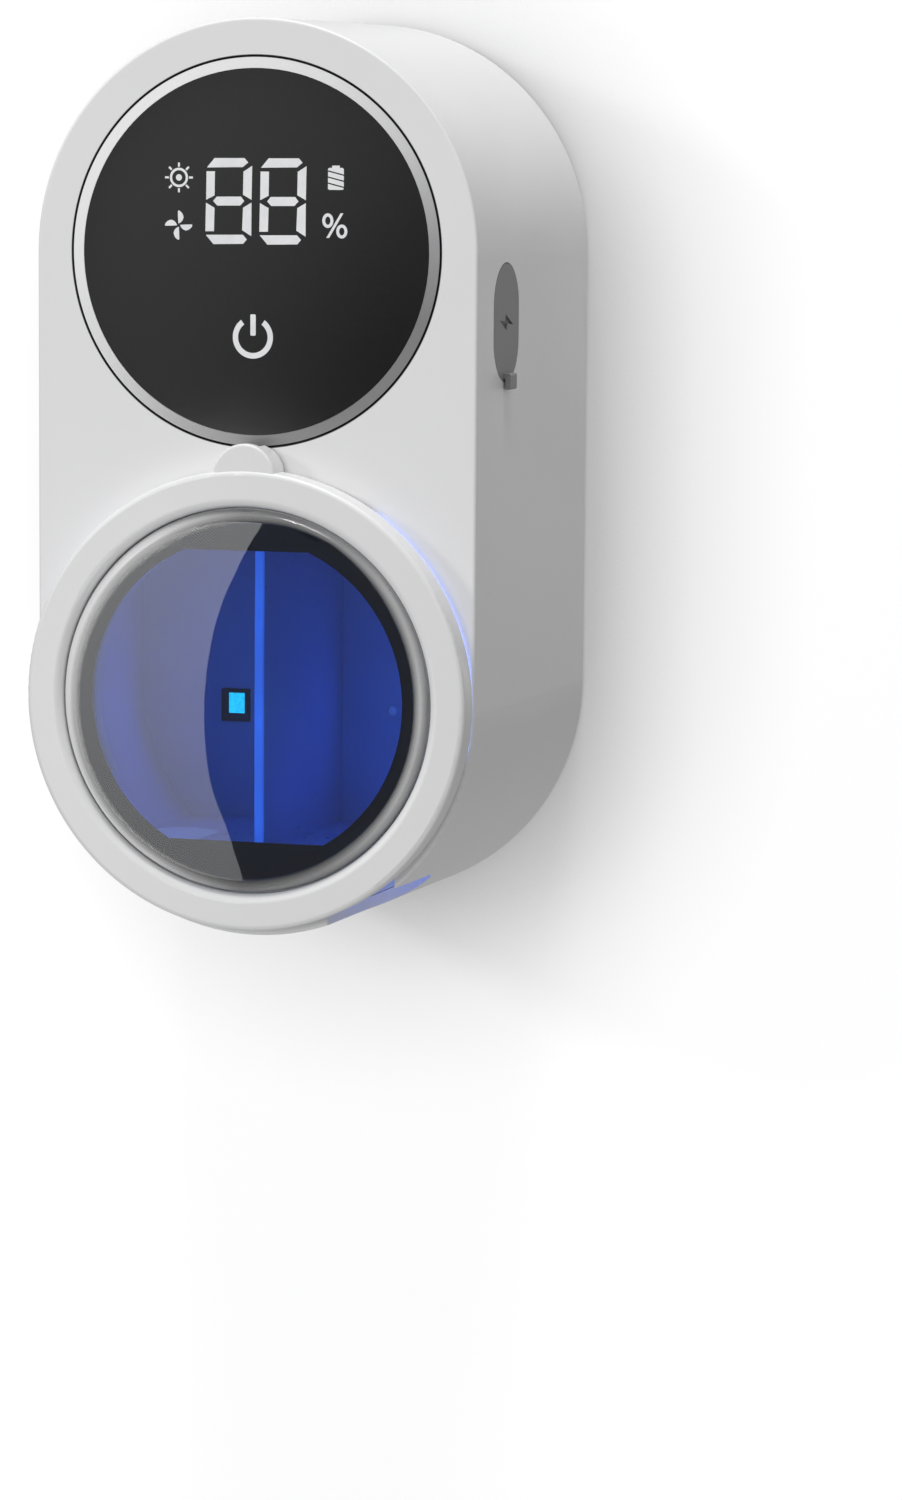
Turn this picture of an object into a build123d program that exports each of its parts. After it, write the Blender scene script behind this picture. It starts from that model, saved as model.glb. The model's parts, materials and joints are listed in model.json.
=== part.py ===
from build123d import *
import math
import os

os.makedirs("parts", exist_ok=True)

# Wall-mounted two-brush toothbrush sanitizer.
# Frame: origin at the middle of the face that is stuck to the wall, +Z up,
# +Y into the wall, +X to the right of a person facing the product. Millimetres.

# ------------------------------------------------------------------ driving dimensions
HALF_SPAN = 35.4          # half distance between the two end-arc centres of the stadium body
R_FRONT = 36.0            # stadium radius at the front face
R_BACK = 37.0             # stadium radius at the back edge (mould draft)
Y_FRONT = -61.0           # front face
Y_BACK = -1.2             # back edge of the shell
WALL = 1.8                # side wall
FRONT_T = 2.4             # front wall
EDGE_R = 0.5              # rounding of the front edge

DISP_Z = HALF_SPAN        # display centre
DISP_HOLE_R = 30.22       # hole in the shell
BEZEL_R = 29.95           # bezel outer radius, leaves a fine shadow groove
LENS_R = 28.2             # black display lens
LENS_T = 1.5
LEGEND_T = 0.3

LID_Z = -34.0             # lid centre height
LID_R = 35.95             # lid ring outer radius
LID_FRONT = -66.3
LID_BACK = -61.4
WINDOW_SEAT_R = 30.25
WINDOW_R = 30.05
WINDOW_TOP = -67.0
MASK_Y = -63.75
CLEAR_R = 25.5            # see-through area of the window
CLEAR_TOP = 23.4
CLEAR_BOTTOM = -22.1
DOOR_HOLE_R = 26.0        # opening in the front wall behind the lid

PIVOT_Y = -63.0           # lid hinge axis
PIVOT_Z = 4.4
PIN_R = 0.6
PIN_LEN = 6.4
PIN_PLAY = 0.05
EAR_R = 5.1
EAR_Z = 0.95

CH_R = 32.9               # chamber inside radius
CH_TOP = -9.6
CH_FLOOR = -57.6
CH_BACK = -19.5
LINER_T = 1.2

SLOT_X = 17.8             # brush slot centres
SLOT_W = 11.0
SLOT_END = -37.0          # innermost point of the round slot end

PORT_Y = -45.9            # charge port centre
PORT_Z = 24.8
PORT_R = 6.5
PORT_HALF = 2.67          # half the straight length of the port outline
PORT_GAP = 0.15

BATT_Y = -16.7            # battery cell axis (runs along X)
BATT_Z = 24.0
BATT_R = 9.2
BATT_LEN = 65.0

FAN = 30.0
FAN_Y = -38.0
FAN_Z0 = -8.35
FAN_Z1 = 1.6

BRACKET_HALF_W = 23.0
BRACKET_HALF_H = 28.0
LIFT = 7.5                # how far the body lifts to come off the bracket


# ------------------------------------------------------------------ helpers
def fplane(y):
    return Plane(origin=(0, y, 0), x_dir=(1, 0, 0), z_dir=(0, -1, 0))


def splane(x):
    return Plane(origin=(x, 0, 0), x_dir=(0, 1, 0), z_dir=(1, 0, 0))


def prism_y(sk, y0, y1):
    """Extrude an X-Z sketch from y1 (rear) to y0 (front)."""
    return extrude(fplane(y1) * sk, amount=y1 - y0)


def prism_x(sk, x0, x1):
    """Extrude a Y-Z sketch from x0 to x1."""
    return extrude(splane(x0) * sk, amount=x1 - x0)


def prism_z(sk, z0, z1):
    return extrude(Pos(0, 0, z0) * sk, amount=z1 - z0)


def box(x0, x1, y0, y1, z0, z1):
    return Pos((x0 + x1) / 2, (y0 + y1) / 2, (z0 + z1) / 2) * Box(x1 - x0, y1 - y0, z1 - z0)


def cyl_y(x, z, r, y0, y1):
    return Pos(x, (y0 + y1) / 2, z) * Rot(90, 0, 0) * Cylinder(r, y1 - y0)


def cyl_x(y, z, r, x0, x1):
    return Pos((x0 + x1) / 2, y, z) * Rot(0, 90, 0) * Cylinder(r, x1 - x0)


def cyl_z(x, y, r, z0, z1):
    return Pos(x, y, (z0 + z1) / 2) * Cylinder(r, z1 - z0)


def r_at(y):
    return R_FRONT + (R_BACK - R_FRONT) * (y - Y_FRONT) / (Y_BACK - Y_FRONT)


def stadium(r, span=HALF_SPAN):
    return SlotCenterToCenter(2 * span, 2 * r, rotation=90)


def body_loft(y0, y1, inset):
    """Drafted stadium solid between two depths, inset from the outer skin."""
    a = fplane(y1) * stadium(r_at(y1) - inset)
    b = fplane(y0) * stadium(r_at(y0) - inset)
    return loft([a.faces()[0], b.faces()[0]], ruled=True)


def poly(pts):
    return make_face(Polyline(*pts, close=True))


def ring_face(r0, r1):
    return Circle(r1) - Circle(r0)


def group(items):
    solids = []
    for it in items:
        solids += list(it.solids())
    return Compound(children=solids) if len(solids) > 1 else solids[0]


def put(shape, name):
    export_step(shape, "parts/" + name + ".step")


# ------------------------------------------------------------------ front shell
outer = body_loft(Y_FRONT, Y_BACK, 0.0)
front_edges = [e for e in outer.edges()
               if abs(e.bounding_box().min.Y - Y_FRONT) < 1e-3 and abs(e.bounding_box().max.Y - Y_FRONT) < 1e-3]
outer_f = fillet(front_edges, EDGE_R)
inner = body_loft(Y_FRONT + FRONT_T, Y_BACK + 2.0, WALL)
shell = outer_f - inner

# round openings for the display and for the brush chamber
shell -= cyl_y(0, DISP_Z, DISP_HOLE_R, Y_FRONT - 1, Y_FRONT + FRONT_T + 1)
shell -= cyl_y(0, LID_Z, DOOR_HOLE_R, Y_FRONT - 1, Y_FRONT + FRONT_T + 1)


def slot_sketch(w, y_end):
    """Plan view (X-Y) of one brush slot, open to the front, round at its inner end."""
    r = w / 2
    yc = y_end - r
    return (Pos(0, yc) * Circle(r)) + (Pos(0, (yc + Y_FRONT - 6) / 2) * Rectangle(w, yc - (Y_FRONT - 6)))


for sx in (-1, 1):
    shell -= prism_z(Pos(sx * SLOT_X, 0) * slot_sketch(SLOT_W, SLOT_END), -76.0, -46.0)

# bosses for the four rear cover screws, merged into the side wall
COVER_SCREWS = [(-31.3, 42.0), (31.3, 42.0), (-31.3, -42.0), (31.3, -42.0)]
COVER_Y = -5.9
for (bx, bz) in COVER_SCREWS:
    y0 = -20.0 if bz > 0 else -17.6
    boss = cyl_y(bx, bz, 3.0, y0, COVER_Y) & body_loft(Y_FRONT + 1, Y_BACK, 0.6)
    shell += boss
for (bx, bz) in COVER_SCREWS:
    shell -= cyl_y(bx, bz, 1.0, -15.5, COVER_Y + 1)

# opening for the charge port
port_hole = prism_x(Pos(PORT_Y, PORT_Z) * SlotCenterToCenter(2 * PORT_HALF, 2 * (PORT_R + PORT_GAP), rotation=90), 30, 42)
shell -= port_hole & box(30, 42, -60, -30, 0, 45)

# hinge lug for the lid, standing on the front face between display and chamber
LUG_R = 1.3
LUG_X = 1.7
shell += cyl_x(PIVOT_Y, PIVOT_Z, LUG_R, -LUG_X, LUG_X) + box(-LUG_X, LUG_X, PIVOT_Y, Y_FRONT + 0.5, 3.2, 5.0)
shell -= cyl_x(PIVOT_Y, PIVOT_Z, PIN_R + PIN_PLAY, -4, 4)

# pocket for the catch magnet in the rear of the front wall
MAG_Z = -66.0
shell -= cyl_y(0, MAG_Z, 1.55, Y_FRONT + 0.8, Y_FRONT + FRONT_T + 0.5)
put(shell, "front_shell")

# ------------------------------------------------------------------ rear cover
cover = body_loft(COVER_Y, Y_BACK, WALL + 0.1)
POCKET_Y = -3.9
cover -= box(-BRACKET_HALF_W - 0.4, BRACKET_HALF_W + 0.4, POCKET_Y, 1, -BRACKET_HALF_H - LIFT - 0.7, BRACKET_HALF_H + 0.4)
HOOKS = [(-12.0, 1.0), (12.0, 1.0), (0.0, -25.0)]     # x, z of the underside of each hook neck
NECK_H = 3.0
HEAD_H = 9.0
for (hx, hz) in HOOKS:
    cover -= box(hx - 4.3, hx + 4.3, COVER_Y - 1, POCKET_Y + 1, hz - LIFT - 0.4, hz + NECK_H + 0.15)
# air intake slots above the bracket
for i in range(5):
    z = 43.0 + 4.6 * i
    cover -= prism_y(Pos(0, z) * SlotOverall(30 - 3.0 * i, 2.2), COVER_Y - 1, 1)
# screw holes with counterbores
for (bx, bz) in COVER_SCREWS:
    cover -= cyl_y(bx, bz, 1.4, COVER_Y - 1, 1)
    cover -= cyl_y(bx, bz, 2.5, -3.4, 1)
# four posts that press the chamber liner forward
for (px, pz) in [(-27.0, -13.5), (27.0, -13.5), (-19.0, -54.5), (19.0, -54.5)]:
    cover += cyl_y(px, pz, 2.2, CH_BACK + LINER_T, COVER_Y + 0.5)
# two bosses for the battery cradle screws
CRADLE_SCREWS = [(-22.0, 37.6), (22.0, 37.6), (-22.0, 10.6), (22.0, 10.6)]
for (cx, cz) in CRADLE_SCREWS:
    cover -= cyl_y(cx, cz, 0.75, COVER_Y - 1, -4.6)
put(cover, "rear_cover")

screws = []
for (bx, bz) in COVER_SCREWS:
    s = cyl_y(bx, bz, 2.2, -3.35, -1.75) + cyl_y(bx, bz, 1.0, -14.5, -3.3)
    s -= box(bx - 1.5, bx + 1.5, -2.6, -1, bz - 0.3, bz + 0.3)
    s -= box(bx - 0.3, bx + 0.3, -2.6, -1, bz - 1.5, bz + 1.5)
    screws.append(s)
put(group(screws), "cover_screws")

# ------------------------------------------------------------------ wall bracket and pad
plate = prism_y(RectangleRounded(2 * BRACKET_HALF_W, 2 * BRACKET_HALF_H, 5.0), -3.5, -1.0)
bracket = plate
for (hx, hz) in HOOKS:
    bracket += box(hx - 3.9, hx + 3.9, -6.3, -3.4, hz, hz + NECK_H)
    bracket += box(hx - 3.9, hx + 3.9, -7.7, -6.25, hz, hz + HEAD_H)
for zz in (-10.0, 18.0):
    bracket -= prism_y(Pos(0, zz) * SlotOverall(22, 5.0), -5, 0)
put(bracket, "wall_bracket")
pad = prism_y(RectangleRounded(2 * BRACKET_HALF_W - 2, 2 * BRACKET_HALF_H - 2, 4.0), -1.0, 0.0)
put(pad, "adhesive_pad")

# ------------------------------------------------------------------ display
bezel = cyl_y(0, DISP_Z, BEZEL_R, Y_FRONT, -57.3)
bezel += cyl_y(0, DISP_Z, 32.5, Y_FRONT + FRONT_T + 0.05, -57.3)
bezel -= cyl_y(0, DISP_Z, LENS_R + 0.05, Y_FRONT - 1, Y_FRONT + LENS_T + 0.1)
bezel -= cyl_y(0, DISP_Z, 26.5, Y_FRONT - 1, -50)
PCB_BOSS = [(29.4 * math.cos(math.radians(a)), DISP_Z + 29.4 * math.sin(math.radians(a))) for a in (45, 135, 225, 315)]
for (bx, bz) in PCB_BOSS:
    bezel += cyl_y(bx, bz, 2.3, -57.4, -53.5)
for (bx, bz) in PCB_BOSS:
    bezel -= cyl_y(bx, bz, 0.85, -57.0, -53)
put(bezel, "display_bezel")

# legend: seven-segment digits and icons, in X-Z relative to the display centre
L_SEG = [
    [(-7.85, 12.99), (-6.6, 14.44), (-1.68, 14.46), (-1.07, 13.79), (-1.98, 13.07)],
    [(-7.92, 12.41), (-6.53, 12.41), (-6.59, 8.7), (-7.97, 8.01)],
    [(-0.43, 13.28), (-1.86, 12.39), (-1.93, 8.82), (-0.53, 8.06)],
    [(-6.83, 7.84), (-6.23, 8.52), (-2.26, 8.55), (-1.71, 7.87), (-2.38, 7.17), (-6.16, 7.14)],
    [(-8.01, 7.58), (-6.59, 6.8), (-6.68, 3.19), (-8.1, 3.17)],
    [(-0.53, 7.63), (-1.92, 6.84), (-2.06, 3.39), (-0.56, 2.48)],
    [(-8.03, 2.63), (-1.96, 2.69), (-1.28, 1.97), (-1.88, 1.29), (-6.77, 1.2)],
]
marks = []
for seg in L_SEG:
    marks.append(poly(seg))
    marks.append(poly([(x + 8.85, z) for (x, z) in seg]))
# sun icon: ring with a dot and eight rays
sun = Pos(-12.46, 11.43) * ring_face(1.12, 1.5)
marks.append(sun)
marks.append(Pos(-12.46, 11.43) * Circle(0.5))
for k in range(8):
    a = k * 45
    marks.append(Pos(-12.46, 11.43) * Rot(0, 0, a) * Pos(1.98, 0) * Rectangle(0.64, 0.32))
# fan icon: four swept blades
blade = [(0.24, 0.04), (0.42, -0.36), (0.75, -0.66), (1.12, -0.81), (1.48, -0.78), (1.86, -0.58), (2.14, -0.3), (2.29, -0.02), (2.16, 0.12), (1.2, 0.1)]
for k in range(4):
    marks.append(Pos(-12.51, 4.08) * Rot(0, 0, 90 * k) * poly(blade))
# battery icon: cell outline with a nub and diagonal gaps
batt = Pos(13.18, 11.35) * RectangleRounded(2.56, 3.36, 0.3) + Pos(13.18, 13.17) * Rectangle(1.25, 0.42)
for k in range(3):
    batt -= Pos(13.18, 10.38 + 0.93 * k) * Rot(0, 0, -14) * Rectangle(3.2, 0.2)
marks.append(batt)
# per cent sign
marks.append(Pos(11.9, 4.97) * (Ellipse(0.9, 1.12) - Ellipse(0.42, 0.62)))
marks.append(Pos(14.17, 3.33) * (Ellipse(0.9, 1.07) - Ellipse(0.42, 0.6)))
marks.append(poly([(13.95, 6.11), (14.42, 6.11), (12.13, 2.33), (11.66, 2.33)]))
# power key mark: open ring with a bar
pwr = Pos(-0.26, -13.1) * (ring_face(2.42, 3.3) - poly([(0, 0), (-2.6, 3.6), (2.6, 3.6)]))
marks.append(pwr)
marks.append(Pos(-0.23, -11.2) * RectangleRounded(0.88, 3.3, 0.2))

lens = cyl_y(0, DISP_Z, LENS_R, Y_FRONT, Y_FRONT + LENS_T)
legend = []
for m in marks:
    sk = Pos(0, DISP_Z) * m
    p = prism_y(sk, Y_FRONT, Y_FRONT + LEGEND_T)
    legend.append(p)
lens_cut = lens
for p in legend:
    lens_cut -= p
put(lens_cut, "display_lens")
put(group(legend), "display_legend")
tape = prism_y(Pos(0, DISP_Z) * ring_face(26.7, 28.0), Y_FRONT + LENS_T, Y_FRONT + LENS_T + 0.1)
put(tape, "lens_tape")

# seven-segment light box behind the lens
module = box(-17, 17, -59.2, -53.5, 35.4, 51.4)
for dx in (0.0, 8.85):
    module -= box(-8.1 + dx, -0.4 + dx, -60, -55.0, 36.4, 50.0)
    module += box(-6.5 + dx, -2.0 + dx, -59.2, -54.8, 38.3, 42.3) + box(-6.5 + dx, -2.0 + dx, -59.2, -54.8, 44.1, 48.3)
for (ix, iz) in ((-12.5, 46.8), (-12.5, 39.5), (13.2, 46.8), (13.2, 39.5)):
    module -= box(ix - 2.2, ix + 2.2, -60, -55.0, iz - 2.2, iz + 2.2)
put(module, "led_display_module")

# main board with its parts
pcb = cyl_y(0, DISP_Z, 31.6, -53.5, -51.9)
for (bx, bz) in PCB_BOSS:
    pcb -= cyl_y(bx, bz, 1.15, -55, -50)
put(pcb, "main_pcb")
chips = [
    box(-4, 4, -51.9, -50.7, 42, 50),
    box(8, 13, -51.9, -49.4, 40, 45),
    box(-15, -9, -51.9, -49.9, 50, 54),
    box(-14, -7, -51.9, -46.4, 8.5, 13.0),
    box(-3.5, 3.5, -51.9, -46.4, 8.5, 13.0),
    box(7, 14, -51.9, -46.4, 8.5, 13.0),
    cyl_y(12, 54, 2.5, -51.9, -46.5),
    cyl_y(-13, 40, 3.0, -51.9, -47.0),
    box(-2.5, -1.0, -51.9, -51.1, 30, 33),
    box(1.0, 2.5, -51.9, -51.1, 30, 33),
    box(4.0, 5.5, -51.9, -51.1, 30, 33),
    box(15, 18, -51.9, -50.9, 28, 32),
]
put(group(chips), "pcb_components")
pscrews = []
for (bx, bz) in PCB_BOSS:
    s = cyl_y(bx, bz, 1.8, -51.9, -50.7) + cyl_y(bx, bz, 0.85, -56.6, -51.9)
    s -= box(bx - 1.2, bx + 1.2, -51.2, -50, bz - 0.25, bz + 0.25)
    pscrews.append(s)
put(group(pscrews), "pcb_screws")

# coil spring that carries the touch key signal from the lens to the board
SPR_H = 5.6
SPR_W = 0.3
spring_path = Helix(pitch=1.1, height=SPR_H - 2 * SPR_W - 0.1, radius=2.6)
spring_prof = Plane(origin=spring_path @ 0, z_dir=spring_path % 0) * Circle(SPR_W)
spring = sweep(spring_prof, path=spring_path, is_frenet=True)
spring = Pos(-0.26, -53.5 - SPR_W, 22.3) * Rot(90, 0, 0) * spring
put(spring, "touch_spring")

# ------------------------------------------------------------------ battery
put(cyl_x(BATT_Y, BATT_Z, BATT_R, -BATT_LEN / 2, BATT_LEN / 2 - 0.6)
    + cyl_x(BATT_Y, BATT_Z, 3.2, BATT_LEN / 2 - 0.7, BATT_LEN / 2), "battery_cell")
CR_X = 34.2
cradle = box(-CR_X, CR_X, -20.0, COVER_Y - 0.02, BATT_Z - 10.7, BATT_Z + 10.7)
cradle -= box(-33.0, 33.0, -21.0, -7.4, BATT_Z - 9.4, BATT_Z + 9.4)
for (cx, cz) in CRADLE_SCREWS:
    zc0, zc1 = (BATT_Z + 10.5, cz + 2.6) if cz > BATT_Z else (cz - 2.6, BATT_Z - 10.5)
    cradle += box(cx - 3, cx + 3, -7.6, COVER_Y - 0.02, zc0, zc1)
for (cx, cz) in CRADLE_SCREWS:
    cradle -= cyl_y(cx, cz, 1.05, -9, -5)
put(cradle, "battery_cradle")
cscrews = []
for (cx, cz) in CRADLE_SCREWS:
    s = cyl_y(cx, cz, 1.8, -8.8, -7.6) + cyl_y(cx, cz, 0.75, -7.7, -4.8)
    s -= box(cx - 1.2, cx + 1.2, -10, -8.2, cz - 0.25, cz + 0.25)
    cscrews.append(s)
put(group(cscrews), "cradle_screws")
contacts = []
for sx in (-1, 1):
    xa, xb = sorted((sx * 32.62, sx * 33.0))
    c = box(xa, xb, -23.0, -9.0, BATT_Z - 6, BATT_Z + 6)
    c += box(xa, xb, -25.5, -22.9, BATT_Z - 1.5, BATT_Z + 1.5)
    contacts.append(c)
put(group(contacts), "battery_contacts")

# ------------------------------------------------------------------ brush chamber
prof_in = stadium(CH_R) & Pos(0, (CH_TOP + CH_FLOOR) / 2) * Rectangle(90, CH_TOP - CH_FLOOR)
prof_out = stadium(CH_R + LINER_T) & Pos(0, (CH_TOP + CH_FLOOR) / 2) * Rectangle(90, CH_TOP - CH_FLOOR + 2 * LINER_T)
liner = prism_y(prof_out, Y_FRONT + FRONT_T, CH_BACK + LINER_T)
liner -= prism_y(prof_in, Y_FRONT + FRONT_T - 1, CH_BACK)
# skirts that carry each brush slot down through the bottom of the shell
cavity = body_loft(Y_FRONT + FRONT_T, -20.0, WALL + 0.08)
for sx in (-1, 1):
    skirt = prism_z(Pos(sx * SLOT_X, 0) * slot_sketch(SLOT_W + 2.4, SLOT_END + 1.2), -76.0, CH_FLOOR - LINER_T + 0.1)
    liner += skirt & cavity
for sx in (-1, 1):
    liner -= prism_z(Pos(sx * SLOT_X, 0) * slot_sketch(SLOT_W, SLOT_END), -77.0, CH_FLOOR + 1)
# grille under the fan
for i in range(6):
    yy = FAN_Y + (i - 2.5) * 4.0
    half = math.sqrt(12.6 ** 2 - (yy - FAN_Y) ** 2)
    for sx in (-1, 1):
        xa, xb = sorted((sx * 2.2, sx * half))
        liner -= box(xa, xb, yy - 1.0, yy + 1.0, CH_TOP - 1, CH_TOP + 3)
for dx in (-12, 12):
    for dy in (-12, 12):
        liner -= cyl_z(dx, FAN_Y + dy, 0.85, CH_TOP - 1, CH_TOP + 3)
# windows for the two lamps
LED_X = 17.1
LED_Z = -39.7
for sx in (-1, 1):
    liner -= box(sx * LED_X - 2.4, sx * LED_X + 2.4, CH_BACK - 1, CH_BACK + 3, LED_Z - 2.65, LED_Z + 2.65)
for sx in (-1, 1):
    for sz in (-7.5, 7.5):
        liner -= cyl_y(sx * 9.0, LED_Z + sz * 0.0, 0.8, CH_BACK - 1, CH_BACK + 3) if sz > 0 else cyl_y(0, -200, 0.5, 0, 1)
put(liner, "chamber_liner")

divider = box(-0.75, 0.75, -57.5, CH_BACK, CH_FLOOR, CH_TOP)
divider = fillet(divider.edges().filter_by(Axis.Z).sort_by(Axis.Y)[0:2], 0.3)
put(divider, "chamber_divider")

# lamp board, lamps and their windows
board = prism_y(Pos(0, LED_Z) * RectangleRounded(50, 10, 2.0), CH_BACK + LINER_T, CH_BACK + LINER_T + 1.2)
for sx in (-1, 1):
    board -= cyl_y(sx * 9.0, LED_Z, 1.1, -25, -10)
put(board, "uv_led_board")
leds, glass = [], []
for sx in (-1, 1):
    cx = sx * LED_X
    gx = cx - sx * 0.35
    gz = LED_Z + 0.4
    p = box(cx - 2.25, cx + 2.25, CH_BACK - 0.7, CH_BACK + LINER_T, LED_Z - 2.5, LED_Z + 2.5)
    p -= box(gx - 1.3, gx + 1.3, CH_BACK - 1.7, CH_BACK + 0.2, gz - 1.62, gz + 1.62)
    leds.append(p)
    glass.append(box(gx - 1.3, gx + 1.3, CH_BACK - 0.75, CH_BACK - 0.3, gz - 1.62, gz + 1.62))
put(group(leds), "uv_led_packages")
put(group(glass), "uv_led_windows")
uscrews = []
for sx in (-1, 1):
    s = cyl_y(sx * 9.0, LED_Z, 1.9, CH_BACK + LINER_T + 1.2, CH_BACK + LINER_T + 2.3) + cyl_y(sx * 9.0, LED_Z, 0.8, CH_BACK + 0.2, CH_BACK + LINER_T + 1.3)
    s -= box(sx * 9.0 - 1.2, sx * 9.0 + 1.2, -16.7, -14, LED_Z - 0.25, LED_Z + 0.25)
    uscrews.append(s)
put(group(uscrews), "uv_board_screws")

# ------------------------------------------------------------------ fan above the chamber
fc = Pos(0, FAN_Y)
frame_sk = RectangleRounded(FAN, FAN, 3.0) - Circle(14.2)
ffr = prism_z(fc * frame_sk, FAN_Z0, FAN_Z1)
ffr += prism_z(fc * Circle(7.4), FAN_Z0, FAN_Z0 + 1.3)
for k in range(3):
    strut = fc * (Rot(0, 0, 90 + 120 * k) * (Pos(10.5, 0) * Rectangle(8.6, 1.8)))
    ffr += prism_z(strut, FAN_Z0, FAN_Z0 + 1.3)
ffr += prism_z(fc * Circle(2.2), FAN_Z0 + 1.2, -1.2)
ffr -= cyl_z(0, FAN_Y, 1.6, FAN_Z0 + 1.3, 3)
for dx in (-12, 12):
    for dy in (-12, 12):
        ffr -= cyl_z(dx, FAN_Y + dy, 1.1, FAN_Z0 - 1, FAN_Z1 + 1)
put(ffr, "fan_frame")
put(prism_z(fc * ring_face(1.05, 1.6), FAN_Z0 + 1.3, -1.2), "fan_bearing")
put(cyl_z(0, FAN_Y, 1.0, -6.8, 1.0), "fan_shaft")
rotor = prism_z(fc * Circle(7.0), -6.3, 1.0) - prism_z(fc * Circle(6.3), -7, 0.2)
for k in range(7):
    b = Rot(0, 0, 360 / 7 * k) * (Pos(10.2, 0, -2.65) * Rot(52, 0, 0) * Box(8.6, 11.0, 0.8))
    b = b & (prism_z(ring_face(6.6, 13.6), -6.3, 1.0))
    rotor += Pos(0, FAN_Y, 0) * b
rotor -= cyl_z(0, FAN_Y, 1.0, -2, 3)
put(rotor, "fan_rotor")
stator = prism_z(fc * ring_face(2.2, 3.2), -6.2, -1.4)
for k in range(4):
    stator += prism_z(fc * (Rot(0, 0, 45 + 90 * k) * (Pos(4.2, 0) * Rectangle(2.6, 2.0))), -5.2, -2.4)
    pole = (ring_face(4.9, 5.8) & (Rot(0, 0, 45 + 90 * k) * (Pos(5.4, 0) * Rectangle(3.0, 6.4))))
    stator += prism_z(fc * pole, -6.0, -1.6)
put(stator, "fan_stator")
fscrews = []
for dx in (-12, 12):
    for dy in (-12, 12):
        s = cyl_z(dx, FAN_Y + dy, 1.9, FAN_Z1, FAN_Z1 + 1.2) + cyl_z(dx, FAN_Y + dy, 0.85, CH_TOP + 0.15, FAN_Z1 + 0.1)
        s -= box(dx - 1.2, dx + 1.2, FAN_Y + dy - 0.25, FAN_Y + dy + 0.25, FAN_Z1 + 0.6, FAN_Z1 + 3)
        fscrews.append(s)
put(group(fscrews), "fan_screws")

# ------------------------------------------------------------------ lid
def arc3(a, m, b):
    return ThreePointArc(a, m, b)


ring_prof = make_face(
    Polyline((LID_R - 0.4, LID_BACK), (27.6, LID_BACK), (27.6, -63.4), (WINDOW_SEAT_R, -63.4), (WINDOW_SEAT_R, -65.0))
    + arc3((WINDOW_SEAT_R, -65.0), (30.70, -65.93), (31.75, LID_FRONT))
    + Line((31.75, LID_FRONT), (LID_R - 0.8, LID_FRONT))
    + arc3((LID_R - 0.8, LID_FRONT), (LID_R - 0.234, LID_FRONT + 0.234), (LID_R, LID_FRONT + 0.8))
    + Polyline((LID_R, LID_FRONT + 0.8), (LID_R, -61.8), (LID_R - 0.4, LID_BACK))
)
lid_ring = Pos(0, 0, LID_Z) * revolve(ring_prof, Axis.Y, 360)

ear_top = (Pos(0, EAR_Z) * Circle(EAR_R)) & (Pos(0, EAR_Z + 5) * Rectangle(20, 10))
ear = prism_y(ear_top + Pos(0, EAR_Z / 2 - 0.55) * Rectangle(2 * EAR_R, EAR_Z + 1.1), -66.0, -61.3)
ear_edges = [e for e in ear.edges() if e.geom_type == GeomType.CIRCLE and e.bounding_box().max.Y < -65.9]
ear = fillet(ear_edges, 0.45)
keep = cyl_x(PIVOT_Y, PIVOT_Z, 1.7, -6, 6) + box(-6, 6, -70, -60, -5, PIVOT_Z) + box(-6, 6, -70, PIVOT_Y, -5, 8)
ear = ear & keep
lid_ring += ear
lid_ring -= box(-2.0, 2.0, PIVOT_Y - 1.45, -60, 2.6, 8)
lid_ring -= cyl_x(PIVOT_Y, PIVOT_Z, PIN_R, -PIN_LEN / 2, PIN_LEN / 2)
# pockets for the magnet and for the three bumpers in the rear of the ring
lid_ring -= cyl_y(0, MAG_Z, 1.5, -63.9, -60)
BUMPERS = [(31.6 * math.sin(math.radians(a)), LID_Z - 31.6 * math.cos(math.radians(a))) for a in (-52, 52)]
for (bx, bz) in BUMPERS:
    lid_ring -= cyl_y(bx, bz, 1.5, -62.2, -60)
put(lid_ring, "lid_ring")
put(cyl_y(0, MAG_Z, 1.5, -63.9, -62.1), "lid_magnet")
put(cyl_y(0, MAG_Z, 1.5, Y_FRONT + 0.8, Y_FRONT + FRONT_T), "catch_magnet")
bump = []
for (bx, bz) in BUMPERS:
    b = cyl_y(bx, bz, 1.45, -62.2, -61.1)
    b = fillet(b.edges().sort_by(Axis.Y)[-1], 0.25)
    bump.append(b)
put(group(bump), "lid_bumpers")
put(cyl_x(PIVOT_Y, PIVOT_Z, PIN_R, -PIN_LEN / 2, PIN_LEN / 2), "hinge_pin")

DOME_R = 690.0             # radius of the window's gentle dome
window = cyl_y(0, LID_Z, WINDOW_R, WINDOW_TOP - 1, MASK_Y) & (Pos(0, WINDOW_TOP + DOME_R, LID_Z) * Sphere(DOME_R))
rim = [e for e in window.edges() if e.geom_type == GeomType.CIRCLE and e.bounding_box().max.Y < MASK_Y - 1]
window = fillet(rim, 2.1)
put(window, "lid_window")
clear = Circle(CLEAR_R) & Pos(0, (CLEAR_TOP + CLEAR_BOTTOM) / 2) * Rectangle(80, CLEAR_TOP - CLEAR_BOTTOM)
mask = prism_y(Pos(0, LID_Z) * (Circle(29.8) - clear), MASK_Y, MASK_Y + 0.2)
put(mask, "window_mask")

hall = box(4.5, 7.5, Y_FRONT + FRONT_T, Y_FRONT + FRONT_T + 1.2, MAG_Z - 1.5, MAG_Z + 1.5)
put(hall, "hall_sensor")

# ------------------------------------------------------------------ charge port
def port_sk(r, half=PORT_HALF):
    return Pos(PORT_Y, PORT_Z) * SlotCenterToCenter(2 * half, 2 * r, rotation=90)


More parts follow.
